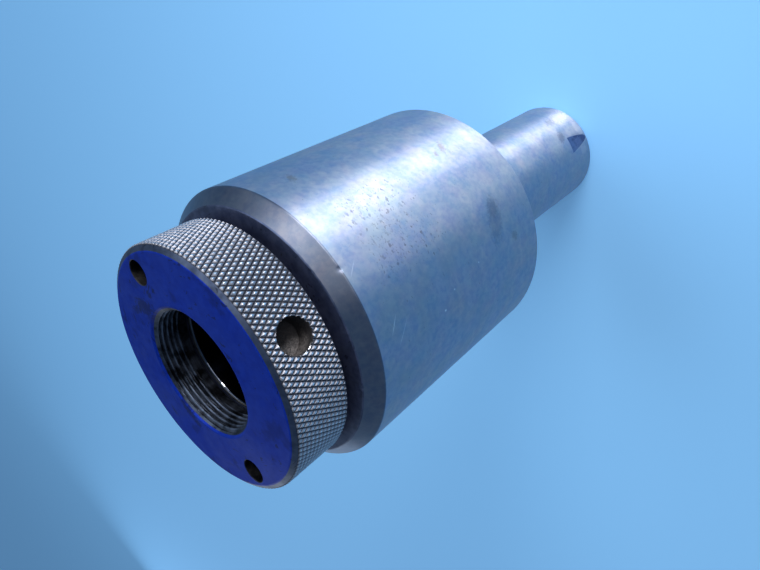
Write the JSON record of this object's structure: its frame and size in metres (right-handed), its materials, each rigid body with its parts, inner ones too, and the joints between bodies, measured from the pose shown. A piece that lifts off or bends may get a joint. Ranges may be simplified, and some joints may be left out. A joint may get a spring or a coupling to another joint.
{
  "type": "collet chuck extension",
  "caption": "Straight-shank collet chuck extension with a knurled, ball-borne nose ring whose thread draws a collet into a taper seat.",
  "frame": {"origin": "centre of the shank's flat end, on which it stands", "axes": "+Z along the turning axis, from the shank's end to the nose; +X through the clamping flat near the shank's end and one round spanner hole in the ring's rim; the face spanner holes lie on Y"},
  "size_m": [0.0762, 0.0762, 0.1764],
  "materials": {
    "ground_steel": "ground, faintly pitted",
    "blued_steel": "blued, knurl worn bright",
    "bearing_steel": "polished"
  },
  "bodies": {
    "chuck": {"chuck_body": "ground_steel", "key_screw": "blued_steel"},
    "ring": {"nose_ring": "blued_steel", "ball_plug": "blued_steel"},
    "ball_row": {"bearing_ball_01": "bearing_steel", "bearing_ball_02": "bearing_steel", "bearing_ball_03": "bearing_steel", "bearing_ball_04": "bearing_steel", "bearing_ball_05": "bearing_steel", "bearing_ball_06": "bearing_steel", "bearing_ball_07": "bearing_steel", "bearing_ball_08": "bearing_steel", "bearing_ball_09": "bearing_steel", "bearing_ball_10": "bearing_steel", "bearing_ball_11": "bearing_steel", "bearing_ball_12": "bearing_steel", "bearing_ball_13": "bearing_steel", "bearing_ball_14": "bearing_steel", "bearing_ball_15": "bearing_steel", "bearing_ball_16": "bearing_steel", "bearing_ball_17": "bearing_steel", "bearing_ball_18": "bearing_steel", "bearing_ball_19": "bearing_steel", "bearing_ball_20": "bearing_steel", "bearing_ball_21": "bearing_steel", "bearing_ball_22": "bearing_steel", "bearing_ball_23": "bearing_steel", "bearing_ball_24": "bearing_steel", "bearing_ball_25": "bearing_steel", "bearing_ball_26": "bearing_steel", "bearing_ball_27": "bearing_steel", "bearing_ball_28": "bearing_steel", "bearing_ball_29": "bearing_steel", "bearing_ball_30": "bearing_steel", "bearing_ball_31": "bearing_steel", "bearing_ball_32": "bearing_steel", "bearing_ball_33": "bearing_steel", "bearing_ball_34": "bearing_steel", "bearing_ball_35": "bearing_steel", "bearing_ball_36": "bearing_steel", "bearing_ball_37": "bearing_steel"}
  },
  "joints": [
    {"name": "ring_turn", "type": "hinge", "parent": "chuck", "child": "ring", "pos_m": [0, 0, 0.16835], "axis": [0, 0, 1], "continuous": true},
    {"name": "ball_row_turn", "type": "hinge", "parent": "chuck", "child": "ball_row", "pos_m": [0, 0, 0.1633], "axis": [0, 0, 1], "continuous": true}
  ],
  "couplings": [
    {"joint": "ball_row_turn", "follows": "ring_turn", "ratio": 0.5421}
  ]
}
